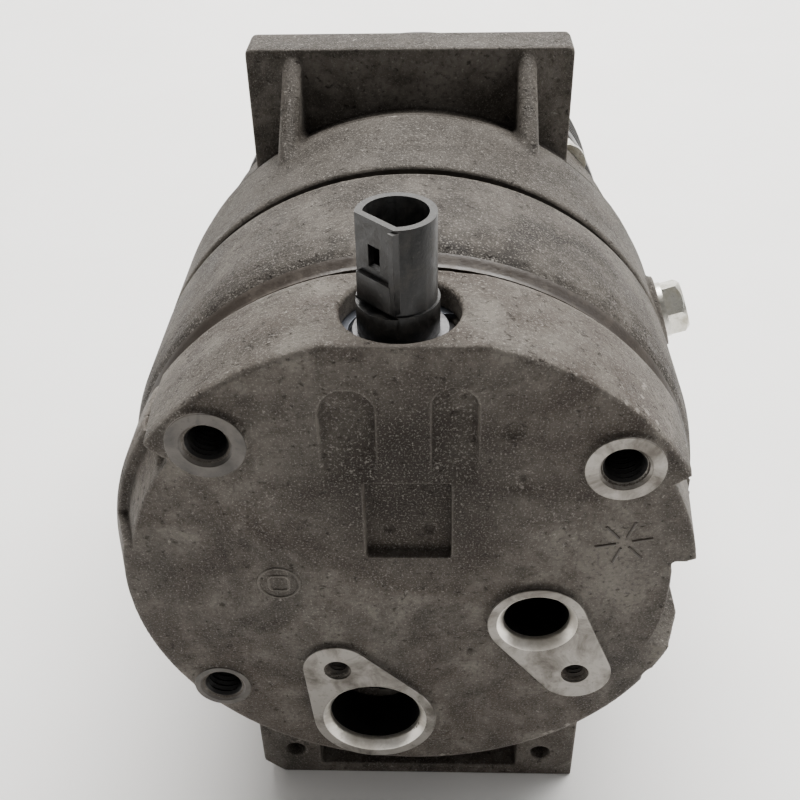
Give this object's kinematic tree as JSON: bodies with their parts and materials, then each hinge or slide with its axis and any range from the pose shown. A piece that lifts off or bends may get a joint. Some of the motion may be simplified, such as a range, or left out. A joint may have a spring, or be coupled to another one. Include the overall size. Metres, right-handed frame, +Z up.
{
  "type": "air conditioning compressor",
  "caption": "Belt-driven variable-stroke refrigerant compressor with a magnetic clutch, a wobble-plate drive, rear ports and an electric control valve socket.",
  "frame": {"origin": "where the shaft axis meets the flat rear face", "axes": "+Y along the shaft to the belt pulley, +Z up through the control valve's socket, +X to the right seen from the rear face"},
  "size_m": [0.1352, 0.201, 0.1675],
  "materials": {
    "cast_head": "aged die casting",
    "cast_block": "aged die casting",
    "cast_front": "aged die casting",
    "forged_aluminium": "machined",
    "gasket": "coated sheet",
    "steel": "ground",
    "spring_steel": "blued",
    "iron": "machined",
    "zinc": "zinc plated",
    "brass": "turned",
    "rubber": "matt",
    "black_plastic": "moulded",
    "tin": "tinned",
    "resin": "potted",
    "pulley_steel": "worn dark coating",
    "clutch_steel": "worn dark coating"
  },
  "bodies": {
    "housing": {"rear_head": "cast_head", "cylinder_block": "cast_block", "front_housing": "cast_front", "head_gasket": "gasket", "block_gasket": "gasket", "valve_plate": "iron", "discharge_reeds": "spring_steel", "discharge_retainer": "steel", "suction_reeds": "spring_steel", "through_bolts": "zinc", "hex_plug": "zinc", "plug_washer": "tin", "guide_rod": "steel", "valve_body": "brass", "valve_seals": "rubber", "solenoid_can": "iron", "valve_snap_ring": "spring_steel", "plunger_spring": "spring_steel", "valve_connector": "black_plastic", "connector_terminals": "tin", "stroke_spring": "spring_steel", "thrust_bearing": "steel", "rear_bearing": "steel", "front_bearing": "steel", "shaft_seal": "rubber", "seal_clip": "spring_steel", "clutch_coil": "pulley_steel", "coil_winding": "resin", "bearing_inner_race": "steel", "rear_o_ring": "rubber", "front_o_ring": "rubber", "coil_clip": "spring_steel", "bearing_clip": "spring_steel"},
    "shaft": {"drive_shaft": "steel", "drive_lug": "iron", "clutch_hub": "clutch_steel", "hub_nut": "zinc", "leaf_springs": "spring_steel"},
    "armature": {"armature_plate": "clutch_steel"},
    "pulley": {"pulley": "pulley_steel", "bearing_outer_race": "steel", "bearing_balls": "steel"},
    "wobble": {"wobble_plate": "forged_aluminium", "wobble_bearing": "steel", "wobble_thrust_ring": "brass"},
    "journal": {"journal": "iron", "hinge_pin": "steel"},
    "plunger": {"valve_plunger": "steel"},
    "piston_body_1": {"piston_1": "forged_aluminium", "piston_rod_1": "steel"},
    "piston_body_2": {"piston_2": "forged_aluminium", "piston_rod_2": "steel"},
    "piston_body_3": {"piston_3": "forged_aluminium", "piston_rod_3": "steel"},
    "piston_body_4": {"piston_4": "forged_aluminium", "piston_rod_4": "steel"},
    "piston_body_5": {"piston_5": "forged_aluminium", "piston_rod_5": "steel"}
  },
  "joints": [
    {"name": "shaft_spin", "type": "hinge", "parent": "housing", "child": "shaft", "pos_m": [0, 0.1, 0], "axis": [0, 1, 0], "continuous": true},
    {"name": "armature_pull", "type": "slide", "parent": "shaft", "child": "armature", "axis": [0, 1, 0], "range_m": [-0.0005, 0], "stiffness_N_per_m": 20000, "springref_m": 0.001},
    {"name": "pulley_spin", "type": "hinge", "parent": "housing", "child": "pulley", "pos_m": [0, 0.166, 0], "axis": [0, 1, 0], "continuous": true},
    {"name": "stroke_tilt", "type": "hinge", "parent": "housing", "child": "wobble", "pos_m": [0, 0.0875, 0], "axis": [1, 0, 0], "range_deg": [0, 14]},
    {"name": "journal_spin", "type": "hinge", "parent": "wobble", "child": "journal", "pos_m": [0, 0.0875, 0], "axis": [0, 1, 0], "continuous": true},
    {"name": "valve_lift", "type": "slide", "parent": "housing", "child": "plunger", "axis": [0, 0, 1], "range_m": [0, 0.002], "stiffness_N_per_m": 1500, "springref_m": -0.003, "deforming": ["plunger_spring"]},
    {"name": "piston_slide_1", "type": "slide", "parent": "housing", "child": "piston_body_1", "axis": [0, 1, 0], "range_m": [-0.00809, 0]},
    {"name": "piston_slide_2", "type": "slide", "parent": "housing", "child": "piston_body_2", "axis": [0, 1, 0], "range_m": [-0.00114, 0]},
    {"name": "piston_slide_3", "type": "slide", "parent": "housing", "child": "piston_body_3", "axis": [0, 1, 0], "range_m": [0, 0.00739]},
    {"name": "piston_slide_4", "type": "slide", "parent": "housing", "child": "piston_body_4", "axis": [0, 1, 0], "range_m": [0, 0.00571]},
    {"name": "piston_slide_5", "type": "slide", "parent": "housing", "child": "piston_body_5", "axis": [0, 1, 0], "range_m": [-0.00386, 0]}
  ],
  "couplings": [
    {"joint": "journal_spin", "follows": "shaft_spin", "ratio": 1},
    {"joint": "piston_slide_1", "follows": "stroke_tilt", "m_per_rad": -0.032991},
    {"joint": "piston_slide_2", "follows": "stroke_tilt", "m_per_rad": -0.0046623},
    {"joint": "piston_slide_3", "follows": "stroke_tilt", "m_per_rad": 0.03011},
    {"joint": "piston_slide_4", "follows": "stroke_tilt", "m_per_rad": 0.023271},
    {"joint": "piston_slide_5", "follows": "stroke_tilt", "m_per_rad": -0.015727}
  ]
}
